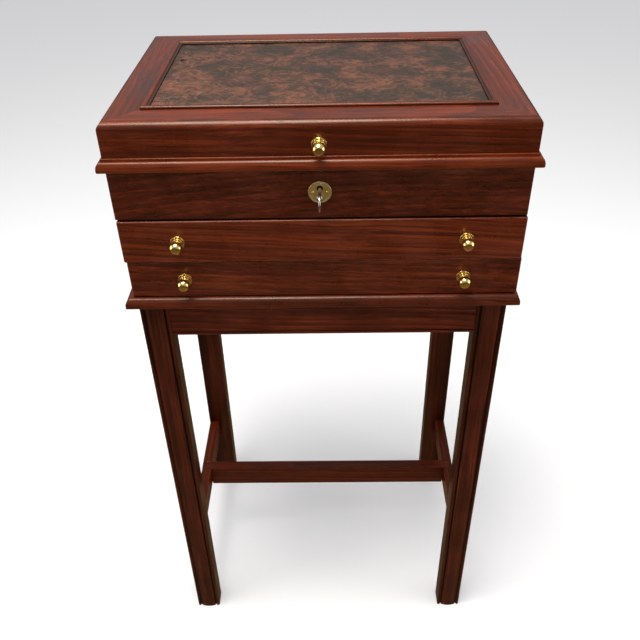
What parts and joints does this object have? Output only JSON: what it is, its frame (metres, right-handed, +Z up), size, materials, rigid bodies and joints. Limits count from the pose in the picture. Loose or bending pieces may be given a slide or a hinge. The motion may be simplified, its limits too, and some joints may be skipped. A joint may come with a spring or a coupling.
{
  "type": "jewellery chest on stand",
  "caption": "Jewellery chest with a hinged lid over a lined well, shallow drawers, lock and key, on a moulded stand with straight legs and an H-stretcher.",
  "frame": {"origin": "on the floor, under the middle of the whole object's box, which reaches from the key's bow in front to the hinge barrels behind", "axes": "+Z up, front towards -Y, +X to the right as seen from the front"},
  "size_m": [0.4612, 0.3637, 0.844],
  "materials": {
    "rosewood": "satin french polish",
    "burr_veneer": "rippled burr veneer, satin",
    "drawer_wood": "waxed",
    "baize": "napped cloth",
    "brass": "polished",
    "old_brass": "aged",
    "steel": "polished"
  },
  "bodies": {
    "case": {"leg_front_left": "rosewood", "leg_front_right": "rosewood", "leg_back_left": "rosewood", "leg_back_right": "rosewood", "apron_front": "rosewood", "apron_back": "rosewood", "apron_left": "rosewood", "apron_right": "rosewood", "base_moulding_front": "rosewood", "base_moulding_back": "rosewood", "base_moulding_left": "rosewood", "base_moulding_right": "rosewood", "stretcher_left": "rosewood", "stretcher_right": "rosewood", "stretcher_cross": "rosewood", "case_side_left": "rosewood", "case_side_right": "rosewood", "case_back": "rosewood", "well_front": "rosewood", "case_bottom": "drawer_wood", "drawer_divider": "drawer_wood", "well_floor": "drawer_wood", "well_lining": "baize", "escutcheon": "old_brass", "lock_case": "old_brass", "hinge_case_leaf_left": "brass", "hinge_case_leaf_right": "brass"},
    "lid": {"lid_rail_front": "rosewood", "lid_rail_back": "rosewood", "lid_rail_left": "rosewood", "lid_rail_right": "rosewood", "lid_moulding_front": "rosewood", "lid_moulding_left": "rosewood", "lid_moulding_right": "rosewood", "lid_bead_frame": "rosewood", "lid_panel": "burr_veneer", "lid_lining": "baize", "strike_plate": "old_brass", "hinge_lid_leaf_left": "brass", "hinge_lid_leaf_right": "brass", "lid_knob": "brass"},
    "upper_drawer": {"upper_drawer_front": "rosewood", "upper_drawer_side_left": "drawer_wood", "upper_drawer_side_right": "drawer_wood", "upper_drawer_back": "drawer_wood", "upper_drawer_bottom": "drawer_wood", "upper_drawer_lining": "baize", "upper_drawer_knob_left": "brass", "upper_drawer_knob_right": "brass"},
    "lower_drawer": {"lower_drawer_front": "rosewood", "lower_drawer_side_left": "drawer_wood", "lower_drawer_side_right": "drawer_wood", "lower_drawer_back": "drawer_wood", "lower_drawer_bottom": "drawer_wood", "lower_drawer_lining": "baize", "lower_drawer_knob_left": "brass", "lower_drawer_knob_right": "brass"},
    "lock_curtain": {"lock_curtain": "steel"},
    "key": {"key": "steel"},
    "lock_bolt": {"lock_bolt": "steel"}
  },
  "joints": [
    {"name": "lid_hinge", "type": "hinge", "parent": "case", "child": "lid", "pos_m": [0, 0.1789, 0.7893], "axis": [-1, 0, 0], "range_deg": [0, 95]},
    {"name": "upper_drawer_slide", "type": "slide", "parent": "case", "child": "upper_drawer", "axis": [0, -1, 0], "range_m": [-0.003, 0.2]},
    {"name": "lower_drawer_slide", "type": "slide", "parent": "case", "child": "lower_drawer", "axis": [0, -1, 0], "range_m": [0, 0.2]},
    {"name": "key_turn", "type": "hinge", "parent": "case", "child": "lock_curtain", "pos_m": [0, -0.13, 0.767], "axis": [0, -1, 0], "range_deg": [0, 360]},
    {"name": "key_draw", "type": "slide", "parent": "lock_curtain", "child": "key", "axis": [0, -1, 0], "range_m": [0, 0.06]},
    {"name": "bolt_throw", "type": "slide", "parent": "case", "child": "lock_bolt", "axis": [0, 0, 1], "range_m": [0, 0.008]}
  ],
  "couplings": [
    {"joint": "bolt_throw", "follows": "key_turn", "m_per_rad": 0.0012732}
  ]
}
